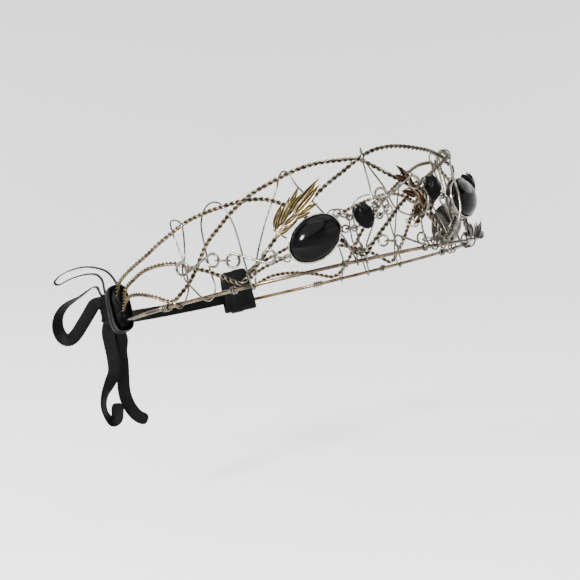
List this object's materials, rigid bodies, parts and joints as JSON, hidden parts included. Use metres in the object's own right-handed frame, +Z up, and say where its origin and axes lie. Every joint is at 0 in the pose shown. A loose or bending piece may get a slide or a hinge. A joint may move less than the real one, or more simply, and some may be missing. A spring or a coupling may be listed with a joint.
{
  "type": "circlet",
  "caption": "Wirework circlet with braided bronze wires, onyx cabochons, rose beads, S-link chain, leaf sprays and a tied black ribbon.",
  "frame": {"origin": "middle of the base wire's oval, where the circlet sits on the wearer's head", "axes": "+Z up as worn, -Y towards the wearer's front, +X towards the wearer's left"},
  "size_m": [0.1784, 0.2098, 0.1437],
  "materials": {
    "old_brass_wire": "aged, satin",
    "twisted_bronze": "antique, bright on the twists",
    "silver_wire": "worn silver plate",
    "bezel_silver": "burnished silver with dark recesses",
    "onyx": "polished black stone",
    "carved_onyx": "carved and polished black stone",
    "chain_silver": "oxidised silver plate",
    "olive_brass_leaf": "antique, pale edges",
    "copper_leaf": "dark antique copper",
    "dark_leaf": "dark antique bronze",
    "black_satin": "satin ribbon"
  },
  "bodies": {
    "root": {"base_wire": "old_brass_wire", "twisted_wire_1": "twisted_bronze", "twisted_wire_2": "twisted_bronze", "twisted_wire_3": "twisted_bronze", "lacing_wire_right": "silver_wire", "lacing_wire_left": "silver_wire", "front_wire": "silver_wire", "binding_coils_right": "silver_wire", "binding_coils_left": "silver_wire", "side_bezel_right": "bezel_silver", "side_bezel_left": "bezel_silver", "front_bezel": "bezel_silver", "side_stone_right": "onyx", "side_stone_left": "onyx", "front_stone": "onyx", "rose_bead_side_right": "carved_onyx", "rose_bead_side_left": "carved_onyx", "rose_bead_brow_right": "carved_onyx", "rose_bead_brow_left": "carved_onyx", "s_link_back_right": "chain_silver", "s_link_back_left": "chain_silver", "s_link_side_right": "chain_silver", "s_link_side_left": "chain_silver", "s_link_brow_right": "chain_silver", "s_link_brow_left": "chain_silver", "chain_rings_right": "chain_silver", "chain_rings_left": "chain_silver", "leaf_spray_side_right": "olive_brass_leaf", "leaf_spray_side_left": "olive_brass_leaf", "leaf_spray_brow_right": "copper_leaf", "leaf_spray_brow_left": "copper_leaf", "leaf_spray_front": "dark_leaf", "ribbon_wrap_right": "black_satin", "ribbon_wrap_left": "black_satin", "ribbon_band": "black_satin", "ribbon_knot": "black_satin", "ribbon_loop_upper": "black_satin", "ribbon_loop_lower": "black_satin", "ribbon_tail_outer": "black_satin", "ribbon_tail_inner": "black_satin"}
  },
  "joints": []
}
